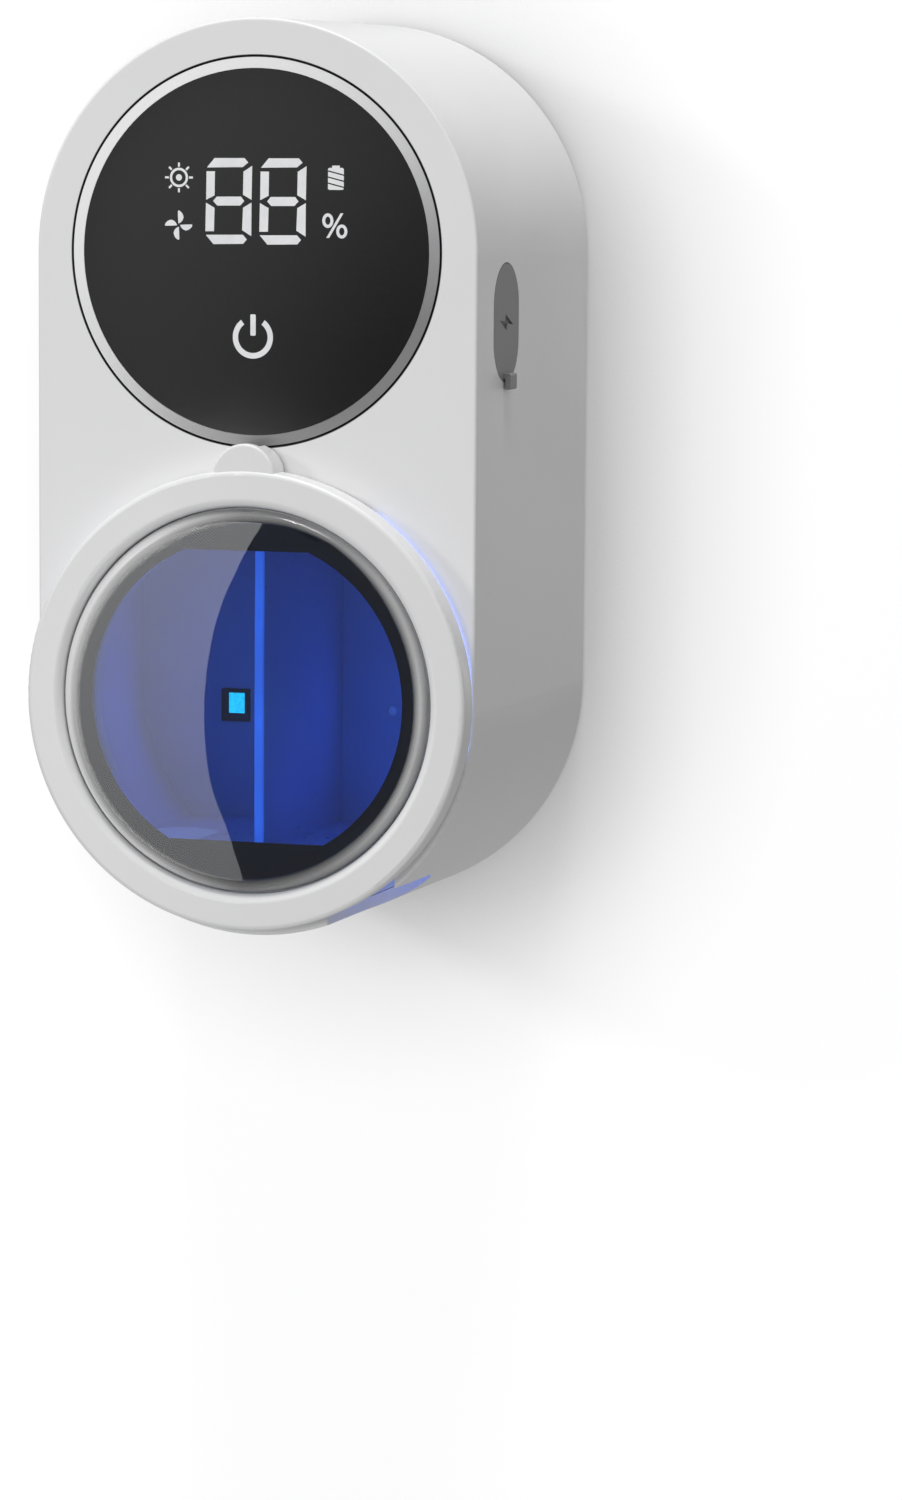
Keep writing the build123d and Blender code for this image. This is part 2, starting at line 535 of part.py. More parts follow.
cap = prism_x(port_sk(PORT_R), 34.85, 40) & outer
cap = cap.solids()[0]
cap += prism_x(Pos(PORT_Y, PORT_Z) * SlotOverall(8.2, 2.6, rotation=90), 33.15, 34.9)
TAB_Y = -45.65
TAB_HALF = 1.75
tab = box(36.58, 37.45, TAB_Y - TAB_HALF, TAB_Y + TAB_HALF, 14.4, 16.9)
tab += box(36.0, 36.7, TAB_Y - TAB_HALF, TAB_Y + TAB_HALF, 16.1, 16.9)
tab = fillet(tab.edges().filter_by(Axis.Y).sort_by(Axis.X)[-2:], 0.35)
cap += tab
# recessed bolt mark
bolt_pts = [(-3.5, 0.34), (-0.75, 0.2), (-0.2, 1.3), (3.5, -0.34), (0.75, -0.2), (0.2, -1.3)]
bolt_sk = Pos(PORT_Y, PORT_Z) * poly(bolt_pts)
bolt = prism_x(bolt_sk, 35.7, 40) & body_loft(Y_FRONT, Y_BACK, 0.2)
cap -= prism_x(bolt_sk, 35.7, 40)
put(cap, "port_plug")
put(bolt, "bolt_symbol")

pbez = box(32.9, 34.3, PORT_Y - 9.0, PORT_Y + 9.0, 14.0, 38.4) & body_loft(-58, -30, WALL + 0.05)
pbez -= prism_x(Pos(PORT_Y, PORT_Z) * SlotOverall(9.8, 3.9, rotation=90), 30, 36)
for sz in (15.5, 33.5):
    pbez += box(28.5, 33.0, PORT_Y + 1.7, PORT_Y + 5.5, sz - 0.8, sz + 0.8) - box(28, 33.5, PORT_Y + 1.55, PORT_Y + 2.85, sz - 2, sz + 2)
put(pbez, "port_bezel")
anchor = box(34.35, 34.75, PORT_Y - 2.2, PORT_Y + 2.2, 30.5, 33.6) & prism_x(port_sk(PORT_R - 0.2), 34, 36)
put(anchor, "plug_tether_pad")

conn_sk = SlotOverall(9.0, 3.2, rotation=90) - SlotOverall(8.34, 2.56, rotation=90)
conn = prism_x(Pos(PORT_Y, PORT_Z) * conn_sk, 25.6, 32.9) + prism_x(Pos(PORT_Y, PORT_Z) * SlotOverall(8.8, 3.0, rotation=90), 25.6, 26.6)
conn += prism_x(Pos(PORT_Y, PORT_Z) * Rectangle(0.7, 6.7), 26.5, 32.0)
put(conn, "usb_c_connector")
cboard = box(12.0, 32.6, PORT_Y + 1.6, PORT_Y + 2.8, 16.0, 33.0)
put(cboard, "charge_board")
cparts = [
    box(15, 19, PORT_Y + 2.8, PORT_Y + 3.9, 20, 24),
    box(21, 25, PORT_Y + 2.8, PORT_Y + 4.6, 26, 30),
    box(15, 17, PORT_Y + 2.8, PORT_Y + 3.5, 28, 31),
    box(13, 16, PORT_Y + 2.8, PORT_Y + 7.2, 17.0, 19.0),
]
put(group(cparts), "charge_components")


# ------------------------------------------------------------------ wiring, clipped inside
def wire(pts, r, rad):
    path = FilletPolyline(*pts, radius=rad)
    prof = Plane(origin=path @ 0, z_dir=path % 0) * Circle(r)
    return sweep(prof, path=path)


wires = [
    # lamp board to main board
    wire([(21.0, -17.05, -37.5), (21.0, -12.5, -37.5), (21.0, -12.5, 5.0), (21.0, -34.0, 5.0), (10.5, -40.0, 10.8), (10.5, -46.4, 10.8)], 0.6, 2.0),
    # fan to main board
    wire([(-14.4, -22.0, -2.0), (-14.4, -19.0, -2.0), (-14.4, -19.0, 5.6), (-11.0, -38.0, 10.8), (-11.0, -46.4, 10.8)], 0.6, 1.6),
    # battery to main board
    wire([(-31.5, -27.5, 24.0), (-31.5, -33.0, 24.0), (-31.5, -33.0, 14.0), (0.0, -38.0, 10.8), (0.0, -46.4, 10.8)], 0.6, 2.0),
]
put(group(wires), "wiring_harness")
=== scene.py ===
import json
import math

import bmesh
import bpy
from mathutils import Matrix, Vector

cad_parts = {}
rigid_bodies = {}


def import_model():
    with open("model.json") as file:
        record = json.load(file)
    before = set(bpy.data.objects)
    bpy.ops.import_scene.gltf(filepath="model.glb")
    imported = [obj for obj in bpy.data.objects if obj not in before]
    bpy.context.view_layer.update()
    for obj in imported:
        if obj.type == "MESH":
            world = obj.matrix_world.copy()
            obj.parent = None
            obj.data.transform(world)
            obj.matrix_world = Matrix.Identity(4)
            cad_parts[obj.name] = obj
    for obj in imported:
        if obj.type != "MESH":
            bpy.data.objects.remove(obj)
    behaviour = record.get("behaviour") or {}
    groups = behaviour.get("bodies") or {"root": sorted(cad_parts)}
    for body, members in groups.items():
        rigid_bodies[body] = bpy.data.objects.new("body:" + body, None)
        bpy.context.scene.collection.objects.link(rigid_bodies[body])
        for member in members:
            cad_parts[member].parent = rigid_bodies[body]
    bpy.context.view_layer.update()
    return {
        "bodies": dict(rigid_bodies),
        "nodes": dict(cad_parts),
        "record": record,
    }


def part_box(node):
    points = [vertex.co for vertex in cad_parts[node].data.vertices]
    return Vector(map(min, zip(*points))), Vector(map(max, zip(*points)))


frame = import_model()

NODES = frame["nodes"]
MM = 0.001
scene = bpy.context.scene
scene.view_settings.view_transform = "Standard"
scene.view_settings.look = "None"
scene.view_settings.exposure = 0.0
scene.view_settings.gamma = 1.0

# positions that come from the frame
SHELL_LO, SHELL_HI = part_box("front_shell")
LENS_LO, LENS_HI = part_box("display_lens")
RING_LO, RING_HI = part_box("lid_ring")
WIN_LO, WIN_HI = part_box("lid_window")
LED_LO, LED_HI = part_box("uv_led_windows")
LINER_LO, LINER_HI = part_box("chamber_liner")
LENS_C = (LENS_LO + LENS_HI) / 2
WIN_C = (WIN_LO + WIN_HI) / 2


# ------------------------------------------------------------------ material tools
class Mat:
    """A node material with small helpers, all patterns procedural and in object space."""

    def __init__(self, name):
        self.m = bpy.data.materials.new(name)
        self.m.use_nodes = True
        self.nt = self.m.node_tree
        self.nt.nodes.clear()
        self.out = self.nt.nodes.new("ShaderNodeOutputMaterial")
        self.bsdf = self.nt.nodes.new("ShaderNodeBsdfPrincipled")
        self.link(self.bsdf.outputs[0], self.out.inputs[0])
        self.tc = self.nt.nodes.new("ShaderNodeTexCoord")
        self.obj = self.tc.outputs["Object"]

    def link(self, a, b):
        self.nt.links.new(a, b)

    def set(self, **kw):
        for k, v in kw.items():
            self.bsdf.inputs[k.replace("_", " ")].default_value = v

    def noise(self, scale, detail=3.0, rough=0.55, stretch=None, distortion=0.0):
        n = self.nt.nodes.new("ShaderNodeTexNoise")
        n.inputs["Scale"].default_value = scale
        n.inputs["Detail"].default_value = detail
        n.inputs["Roughness"].default_value = rough
        n.inputs["Distortion"].default_value = distortion
        src = self.obj
        if stretch:
            mp = self.nt.nodes.new("ShaderNodeMapping")
            mp.inputs["Scale"].default_value = stretch
            self.link(self.obj, mp.inputs["Vector"])
            src = mp.outputs[0]
        self.link(src, n.inputs["Vector"])
        return n.outputs["Fac"]

    def voronoi(self, scale, feature="F1"):
        n = self.nt.nodes.new("ShaderNodeTexVoronoi")
        n.feature = feature
        n.inputs["Scale"].default_value = scale
        self.link(self.obj, n.inputs["Vector"])
        return n.outputs["Distance"]

    def remap(self, src, a, b, lo=0.3, hi=0.7):
        n = self.nt.nodes.new("ShaderNodeMapRange")
        n.inputs["From Min"].default_value = lo
        n.inputs["From Max"].default_value = hi
        n.inputs["To Min"].default_value = a
        n.inputs["To Max"].default_value = b
        self.link(src, n.inputs["Value"])
        return n.outputs[0]

    def ramp(self, src, stops):
        n = self.nt.nodes.new("ShaderNodeValToRGB")
        cr = n.color_ramp
        while len(cr.elements) < len(stops):
            cr.elements.new(0.5)
        for e, (p, c) in zip(cr.elements, stops):
            e.position = p
            e.color = (*c, 1.0) if len(c) == 3 else c
        self.link(src, n.inputs["Fac"])
        return n.outputs["Color"]

    def math(self, op, a, b=None):
        n = self.nt.nodes.new("ShaderNodeMath")
        n.operation = op
        for i, v in enumerate((a, b)):
            if v is None:
                continue
            if isinstance(v, (int, float)):
                n.inputs[i].default_value = v
            else:
                self.link(v, n.inputs[i])
        return n.outputs[0]

    def mix(self, fac, c1, c2, blend="MIX"):
        n = self.nt.nodes.new("ShaderNodeMix")
        n.data_type = "RGBA"
        n.blend_type = blend
        ins = [i for i in n.inputs if i.type == "RGBA"]
        facs = [i for i in n.inputs if i.type == "VALUE"][0]
        if isinstance(fac, (int, float)):
            facs.default_value = fac
        else:
            self.link(fac, facs)
        for sock, c in zip(ins, (c1, c2)):
            if isinstance(c, (tuple, list)):
                sock.default_value = (*c, 1.0) if len(c) == 3 else c
            else:
                self.link(c, sock)
        return [o for o in n.outputs if o.type == "RGBA"][0]

    def about(self, centre):
        """Vector from an axis parallel to Y through centre, its length, and its direction."""
        sub = self.nt.nodes.new("ShaderNodeVectorMath")
        sub.operation = "SUBTRACT"
        sub.inputs[1].default_value = centre
        self.link(self.obj, sub.inputs[0])
        flat = self.nt.nodes.new("ShaderNodeVectorMath")
        flat.operation = "MULTIPLY"
        flat.inputs[1].default_value = (1.0, 0.0, 1.0)
        self.link(sub.outputs[0], flat.inputs[0])
        length = self.nt.nodes.new("ShaderNodeVectorMath")
        length.operation = "LENGTH"
        self.link(flat.outputs[0], length.inputs[0])
        unit = self.nt.nodes.new("ShaderNodeVectorMath")
        unit.operation = "NORMALIZE"
        self.link(flat.outputs[0], unit.inputs[0])
        return length.outputs["Value"], unit.outputs[0]

    def along(self, vec, direction):
        dot = self.nt.nodes.new("ShaderNodeVectorMath")
        dot.operation = "DOT_PRODUCT"
        dot.inputs[1].default_value = direction
        self.link(vec, dot.inputs[0])
        return dot.outputs["Value"]

    def bump(self, src, strength=0.1, distance=0.0001, normal=None):
        n = self.nt.nodes.new("ShaderNodeBump")
        n.inputs["Strength"].default_value = strength
        n.inputs["Distance"].default_value = distance
        self.link(src, n.inputs["Height"])
        if normal is not None:
            self.link(normal, n.inputs["Normal"])
        self.link(n.outputs[0], self.bsdf.inputs["Normal"])
        return n.outputs[0]

    def edges(self, radius=0.0006, lo=0.02, hi=0.25):
        """0 on flat areas, rising to 1 on rounded and worn edges."""
        bv = self.nt.nodes.new("ShaderNodeBevel")
        bv.samples = 4
        bv.inputs["Radius"].default_value = radius
        geo = self.nt.nodes.new("ShaderNodeNewGeometry")
        dot = self.nt.nodes.new("ShaderNodeVectorMath")
        dot.operation = "DOT_PRODUCT"
        self.link(bv.outputs[0], dot.inputs[0])
        self.link(geo.outputs["Normal"], dot.inputs[1])
        inv = self.math("SUBTRACT", 1.0, dot.outputs["Value"])
        return self.remap(inv, 0.0, 1.0, lo, hi)


def moulded(name, color, rough=0.42, spec=0.5, grain=0.12, grain_scale=5200.0, var=0.03, coat=0.0, sss=0.0, edge=None):
    """Moulded plastic: spark-eroded grain, slow flow variation in colour and gloss, handled edges tinted towards an
    edge colour when one is given.
    """
    t = Mat(name)
    slow = t.noise(38.0, 3.0)
    fine = t.noise(900.0, 2.0)
    dark = tuple(c * (1 - var) for c in color)
    light = tuple(min(1.0, c * (1 + var * 0.6)) for c in color)
    col = t.mix(t.remap(slow, 0.0, 1.0), dark, light)
    specks = t.remap(t.noise(6200.0, 1.0), 0.0, 1.0, 0.62, 0.78)
    col = t.mix(t.math("MULTIPLY", specks, 0.25), col, tuple(c * 0.93 for c in color))
    if edge:
        col = t.mix(t.math("MULTIPLY", t.edges(), 0.6), col, edge)
    t.link(col, t.bsdf.inputs["Base Color"])
    r = t.math("ADD", t.remap(slow, rough - 0.05, rough + 0.05), t.remap(fine, -0.03, 0.03))
    t.link(r, t.bsdf.inputs["Roughness"])
    g1 = t.noise(grain_scale, 2.0, 0.6)
    g2 = t.noise(grain_scale * 0.22, 2.0, 0.5)
    h = t.math("ADD", g1, t.math("MULTIPLY", g2, 0.6))
    t.bump(h, grain, 0.00006)
    t.bsdf.inputs["Specular IOR Level"].default_value = spec
    if coat:
        t.bsdf.inputs["Coat Weight"].default_value = coat
        t.bsdf.inputs["Coat Roughness"].default_value = 0.06
    if sss:
        t.bsdf.inputs["Subsurface Weight"].default_value = sss
        t.bsdf.inputs["Subsurface Radius"].default_value = (0.002, 0.002, 0.002)
        t.bsdf.inputs["Subsurface Scale"].default_value = 1.0
    return t


def metal(name, color, rough=0.3, brushed=(1.0, 1.0, 60.0), aniso=0.0, tarnish=0.15):
    t = Mat(name)
    streak = t.noise(900.0, 4.0, 0.6, stretch=brushed)
    spots = t.noise(160.0, 4.0)
    dull = tuple(c * (1 - tarnish) for c in color)
    t.link(t.mix(t.remap(spots, 0.0, 1.0), dull, color), t.bsdf.inputs["Base Color"])
    t.link(t.math("ADD", t.remap(streak, rough - 0.08, rough + 0.08), t.remap(spots, -0.04, 0.05)), t.bsdf.inputs["Roughness"])
    t.bump(streak, 0.12, 0.00003)
    t.bsdf.inputs["Metallic"].default_value = 1.0
    return t


def local(node, point):
    return NODES[node].matrix_world.inverted() @ Vector(point)


M = {}
M["shell_white"] = moulded("shell_white", (0.80, 0.80, 0.805), 0.44, 0.42, 0.07, var=0.012)
t = M["shell_white"]
# painted shade: a dark ring in the base colour at the seam groove round the display stands in for the shadow inside
# the groove
groove_shade_radius, _ = t.about(local("front_shell", LENS_C))
plain = t.bsdf.inputs["Base Color"].links[0].from_socket
t.link(t.mix(t.remap(groove_shade_radius, 1.0, 0.0, 0.03029, 0.03037), plain, (0.03, 0.03, 0.03)), t.bsdf.inputs["Base Color"])
M["ring_white"] = moulded("ring_white", (0.775, 0.775, 0.78), 0.40, 0.45, 0.05, var=0.012)
M["cover_white"] = moulded("cover_white", (0.76, 0.76, 0.765), 0.52, 0.4, 0.16, 3600.0, var=0.02)
M["bracket_white"] = moulded("bracket_white", (0.74, 0.74, 0.74), 0.55, 0.4, 0.18, 3600.0, var=0.02)
M["module_white"] = moulded("module_white", (0.78, 0.78, 0.76), 0.5, 0.4, 0.1, var=0.02)
M["cradle_black"] = moulded("cradle_black", (0.02, 0.02, 0.021), 0.5, 0.45, 0.25, 2600.0, var=0.1)
M["fan_black"] = moulded("fan_black", (0.018, 0.018, 0.02), 0.42, 0.5, 0.12, 3000.0, var=0.1)
M["chip_black"] = moulded("chip_black", (0.02, 0.02, 0.021), 0.55, 0.4, 0.3, 4200.0, var=0.15)
M["port_grey"] = moulded("port_grey", (0.11, 0.11, 0.115), 0.5, 0.4, 0.15, var=0.05)
M["magnet_nickel"] = metal("magnet_nickel", (0.72, 0.71, 0.68), 0.22, (1, 1, 1))
M["screw_steel"] = metal("screw_steel", (0.62, 0.63, 0.66), 0.34, (1, 30, 1))
M["spring_steel"] = metal("spring_steel", (0.60, 0.60, 0.62), 0.28, (1, 40, 1))
M["connector_steel"] = metal("connector_steel", (0.63, 0.63, 0.64), 0.3, (30, 1, 1))
M["contact_nickel"] = metal("contact_nickel", (0.72, 0.69, 0.62), 0.3, (1, 1, 30))
M["bearing_brass"] = metal("bearing_brass", (0.72, 0.52, 0.27), 0.4, (1, 1, 20))
M["stator_iron"] = metal("stator_iron", (0.38, 0.24, 0.15), 0.45, (1, 1, 60), tarnish=0.4)
M["board_alu"] = moulded("board_alu", (0.72, 0.73, 0.74), 0.45, 0.5, 0.1, var=0.03)


def silicone(name, color, rough=0.6):
    t = Mat(name)
    slow = t.noise(260.0, 4.0)
    dust = t.remap(t.noise(5200.0, 1.0), 0.0, 1.0, 0.66, 0.8)
    col = t.mix(t.remap(slow, 0.0, 1.0), tuple(c * 0.93 for c in color), tuple(min(1, c * 1.05) for c in color))
    col = t.mix(t.math("MULTIPLY", dust, 0.25), col, tuple(min(1, c * 1.25) for c in color))
    t.link(col, t.bsdf.inputs["Base Color"])
    t.link(t.remap(slow, rough - 0.06, rough + 0.06), t.bsdf.inputs["Roughness"])
    t.bump(t.math("ADD", t.noise(4200.0, 2.0), t.math("MULTIPLY", slow, 0.4)), 0.16, 0.00006)
    t.bsdf.inputs["Sheen Weight"].default_value = 0.12
    t.bsdf.inputs["Sheen Roughness"].default_value = 0.4
    t.bsdf.inputs["Specular IOR Level"].default_value = 0.35
    return t


M["plug_silicone"] = silicone("plug_silicone", (0.235, 0.235, 0.238))
M["bolt_print"] = silicone("bolt_print", (0.045, 0.045, 0.047), 0.5)
M["bumper_silicone"] = silicone("bumper_silicone", (0.7, 0.7, 0.7), 0.5)
M["pad_foam"] = silicone("pad_foam", (0.16, 0.16, 0.165), 0.8)
M["tape_black"] = silicone("tape_black", (0.02, 0.02, 0.02), 0.75)


def gloss_black(name, base, rough, orange_peel=0.02):
    """Black gloss sheet: tiny dust, faint hairlines in the polish, slight unevenness in the coat."""
    t = Mat(name)
    hair = t.noise(300.0, 6.0, 0.7, stretch=(1.0, 1.0, 26.0), distortion=0.4)
    slow = t.noise(55.0, 3.0)
    dust = t.remap(t.noise(5200.0, 1.0), 0.0, 1.0, 0.72, 0.80)
    col = t.mix(t.math("MULTIPLY", dust, 0.05), (base, base, base * 1.04), (0.35, 0.35, 0.36))
    t.link(col, t.bsdf.inputs["Base Color"])
    t.link(t.math("ADD", t.remap(hair, rough - 0.015, rough + 0.03), t.remap(slow, -0.01, 0.02)), t.bsdf.inputs["Roughness"])
    t.bump(slow, orange_peel, 0.0002)
    t.bsdf.inputs["Specular IOR Level"].default_value = 0.5
    return t


M["lens_black"] = gloss_black("lens_black", 0.0065, 0.16)
M["mask_black"] = gloss_black("mask_black", 0.008, 0.3)
M["mask_black"].bsdf.inputs["Specular IOR Level"].default_value = 0.1

# display legend: lit light guides with a soft hot spot pattern
t = Mat("legend_white")
glow = t.noise(420.0, 2.0)
t.link(t.mix(t.remap(glow, 0.0, 1.0), (0.74, 0.75, 0.77), (0.82, 0.82, 0.83)), t.bsdf.inputs["Base Color"])
t.link(t.remap(glow, 0.28, 0.4), t.bsdf.inputs["Roughness"])
t.bsdf.inputs["Emission Color"].default_value = (1.0, 1.0, 1.0, 1.0)
t.bsdf.inputs["Emission Strength"].default_value = 0.05
t.bump(t.noise(3200.0, 2.0), 0.05, 0.00005)
M["legend_white"] = t

# satin silver ring, turned on a lathe: its base colour carries a painted sheen, bright at the upper left and dark at
# the lower right, as if lit from the upper left
t = Mat("bezel_silver")
radius, turn_dir = t.about(local("display_bezel", LENS_C))
rings = t.nt.nodes.new("ShaderNodeTexNoise")
rings.noise_dimensions = "1D"
rings.inputs["Scale"].default_value = 9000.0
rings.inputs["Detail"].default_value = 3.0
t.link(radius, rings.inputs["W"])
painted_sheen = t.ramp(t.remap(t.along(turn_dir, (-0.58, 0.0, 0.815)), 0.0, 1.0, -1.0, 1.0),
               [(0.0, (0.26, 0.26, 0.263)), (0.08, (0.26, 0.26, 0.263)), (0.25, (0.42, 0.42, 0.423)), (0.5, (0.74, 0.74, 0.745)), (0.75, (0.92, 0.92, 0.925)), (1.0, (1.0, 1.0, 1.0))])
streak = t.remap(rings.outputs["Fac"], 0.94, 1.03)
sheen_and_lathe_rings = t.mix(1.0, painted_sheen, t.ramp(streak, [(0.0, (0.9, 0.9, 0.9)), (1.0, (1.0, 1.0, 1.0))]), "MULTIPLY")
# painted shade: the bezel's outer edge at the seam groove is darkened in the base colour to stand in for the groove's
# shadow
t.link(t.mix(t.remap(radius, 0.0, 1.0, 0.02989, 0.02996), sheen_and_lathe_rings, (0.03, 0.03, 0.03)), t.bsdf.inputs["Base Color"])
t.link(t.remap(rings.outputs["Fac"], 0.30, 0.40), t.bsdf.inputs["Roughness"])
t.bump(rings.outputs["Fac"], 0.05, 0.00003)
t.bsdf.inputs["Metallic"].default_value = 0.35
M["bezel_silver"] = t

# chamber liner: glossy white plastic, its base colour darkened and tinted blue to stand in for part of the lamp light
# that bathes it
t = moulded("liner_white", (0.59, 0.66, 0.77), 0.34, 0.5, 0.05, 4200.0, var=0.03)
M["liner_white"] = t

# painted glow: the divider's front edge is given a blue emission, standing in for the lamp light that travels through
# its clear-white wall; its base colour is tinted blue as well, standing in for that light
t = moulded("divider_white", (0.60, 0.65, 0.70), 0.34, 0.5, 0.05, 4200.0, var=0.03)
DIV_LO, DIV_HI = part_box("chamber_divider")
div_front = local("chamber_divider", DIV_LO).y
front_y = t.nt.nodes.new("ShaderNodeSeparateXYZ")
t.link(t.obj, front_y.inputs[0])
t.bsdf.inputs["Emission Color"].default_value = (0.03, 0.15, 0.50, 1.0)
t.link(t.math("MULTIPLY", t.remap(front_y.outputs["Y"], 1.0, 0.0, div_front + 0.0002, div_front + 0.0006), t.remap(t.noise(120.0, 2.0), 0.8, 1.1)), t.bsdf.inputs["Emission Strength"])
M["divider_white"] = t

# circuit boards: solder mask with faint traces
t = Mat("pcb_green")
w = t.nt.nodes.new("ShaderNodeTexWave")
w.inputs["Scale"].default_value = 260.0
w.inputs["Distortion"].default_value = 9.0
w.inputs["Detail"].default_value = 2.0
t.link(t.obj, w.inputs["Vector"])
tr = t.remap(w.outputs["Fac"], 0.0, 1.0, 0.62, 0.7)
t.link(t.mix(tr, (0.012, 0.075, 0.032), (0.03, 0.16, 0.07)), t.bsdf.inputs["Base Color"])
t.link(t.remap(t.noise(500.0, 3.0), 0.28, 0.42), t.bsdf.inputs["Roughness"])
t.bump(tr, 0.15, 0.00006)
M["pcb_green"] = t

t = moulded("cell_wrap", (0.03, 0.14, 0.36), 0.28, 0.5, 0.06, 1800.0, var=0.12, coat=0.4)
M["cell_wrap"] = t
t = moulded("wire_red", (0.42, 0.02, 0.02), 0.38, 0.5, 0.08, 2400.0, var=0.1)
M["wire_red"] = t
t = moulded("led_ceramic", (0.010, 0.016, 0.020), 0.4, 0.5, 0.15, 3000.0, var=0.2)
M["led_ceramic"] = t

# lit lamp window: cyan phosphor look with a darker die grid
t = Mat("led_glass")
cell = t.voronoi(1500.0)
c = t.mix(t.remap(cell, 0.0, 1.0, 0.1, 0.6), (0.02, 0.78, 0.62), (0.04, 1.0, 0.74))
t.link(c, t.bsdf.inputs["Base Color"])
t.link(c, t.bsdf.inputs["Emission Color"])
t.bsdf.inputs["Emission Strength"].default_value = 1.3
t.link(t.remap(t.noise(2200.0, 2.0), 0.08, 0.2), t.bsdf.inputs["Roughness"])
t.bump(cell, 0.1, 0.00005)
M["led_glass"] = t

# blue-tinted window, clear in the middle; its rounded rim carries a painted highlight, done as grey frosting whose
# amount changes round the rim with the light, most at the sides and least at the top and bottom
t = Mat("window_clear")
hz = t.noise(90.0, 4.0)
wr, wdir = t.about(local("lid_window", WIN_C))
angle = t.math("ARCTAN2", t.along(wdir, (0.0, 0.0, 1.0)), t.along(wdir, (1.0, 0.0, 0.0)))
turns = t.remap(angle, 0.0, 1.0, -math.pi, math.pi)


def around(*values):
    """A value that changes round the rim: (degrees from +X towards +Z, value) pairs."""
    return t.ramp(turns, [((d + 180) / 360, (v, v, v)) for d, v in values])


# in millimetres outward from a radius of 26: where the painted rim highlight begins and where it is full
begins = around((-180, 0.8), (-150, 1.2), (-120, 1.4), (-90, 1.6), (-60, 1.6), (-30, 1.8), (0, 1.8), (30, 2.0), (60, 2.65), (75, 2.3), (90, 1.6), (120, 0.6), (150, 0.6), (180, 0.8))
full = around((-180, 2.8), (-150, 3.4), (-120, 3.4), (-90, 3.7), (-60, 3.0), (-30, 2.9), (0, 2.9), (30, 3.3), (60, 4.4), (75, 4.1), (90, 3.4), (120, 2.8), (150, 2.6), (180, 2.8))
rim_light_amount = around((-180, 0.95), (-150, 1.0), (-120, 0.9), (-90, 0.30), (-60, 0.40), (-30, 0.72), (0, 0.74), (30, 0.57), (60, 0.85), (75, 0.5), (90, 0.38), (120, 0.75), (150, 0.85), (180, 0.95))
at_seam = around((-180, 1.0), (-90, 1.0), (-60, 0.85), (-30, 0.62), (0, 0.48), (30, 1.0), (60, 1.0), (90, 0.7), (120, 1.0), (180, 1.0))
at_edge = around((-180, 1.0), (-110, 1.0), (-90, 0.7), (-60, 0.4), (-30, 0.5), (0, 0.9), (30, 1.0), (180, 1.0))
out_mm = t.math("MULTIPLY", t.math("SUBTRACT", wr, 0.026), 1000.0)
part = t.math("DIVIDE", t.math("SUBTRACT", out_mm, begins), t.math("SUBTRACT", full, begins))
near_seam = t.remap(wr, 0.0, 1.0, 0.0290, 0.0297)
seam = t.math("SUBTRACT", 1.0, t.math("MULTIPLY", near_seam, t.math("SUBTRACT", 1.0, at_seam)))
# painted highlight: the rim turns grey and less clear where it should catch the light
painted_rim_light = t.math("MULTIPLY", t.math("MULTIPLY", t.remap(part, 0.0, 1.0, 0.0, 1.0), rim_light_amount), seam)
painted_rim_light = t.math("MAXIMUM", painted_rim_light, t.math("MULTIPLY", t.remap(wr, 0.0, 1.0, 0.0298, 0.0300), at_edge))
clear = t.mix(t.remap(hz, 0.0, 1.0), (0.23, 0.42, 0.95), (0.26, 0.45, 0.98))
t.link(t.mix(t.remap(painted_rim_light, 0.0, 1.0, 0.0, 0.1), clear, (0.80, 0.80, 0.805)), t.bsdf.inputs["Base Color"])
t.link(t.math("ADD", t.remap(t.noise(420.0, 4.0, 0.6, stretch=(1.0, 1.0, 18.0)), 0.0, 0.03), t.math("MULTIPLY", painted_rim_light, 0.4)), t.bsdf.inputs["Roughness"])
t.link(t.math("SUBTRACT", 1.0, painted_rim_light), t.bsdf.inputs["Transmission Weight"])
t.bsdf.inputs["IOR"].default_value = 1.49
M["window_clear"] = t

SLOT_OF = {s["node"]: s["material_slot"] for s in frame["record"]["subparts"]}
for n, o in NODES.items():
    mat = M["divider_white" if n == "chamber_divider" else SLOT_OF[n]].m
    o.data.materials.clear()
    o.data.materials.append(mat)
    for p in o.data.polygons:
        p.material_index = 0


def smooth(o, deg=28.0):
    for p in o.data.polygons:
        p.use_smooth = True
    o.data.set_sharp_from_angle(angle=math.radians(deg))
    w = o.modifiers.new("even_normals", "WEIGHTED_NORMAL")
    w.keep_sharp = True
    w.weight = 80


for n, o in NODES.items():
    smooth(o)

# the printed border is fused to the glass, with no air between them
fused = NODES["window_mask"].modifiers.new("print_bond", "DISPLACE")
fused.direction = "NORMAL"
fused.mid_level = 0.0
fused.strength = 0.00002


# ------------------------------------------------------------------ stage
def plane(name, size, loc, rot, mat):
    me = bpy.data.meshes.new(name)
    s = size / 2
    me.from_pydata([(-s, -s, 0), (s, -s, 0), (s, s, 0), (-s, s, 0)], [], [(0, 1, 2, 3)])
    o = bpy.data.objects.new(name, me)
    scene.collection.objects.link(o)
    o.rotation_euler = rot
    o.location = loc
    me.materials.append(mat)
    return o


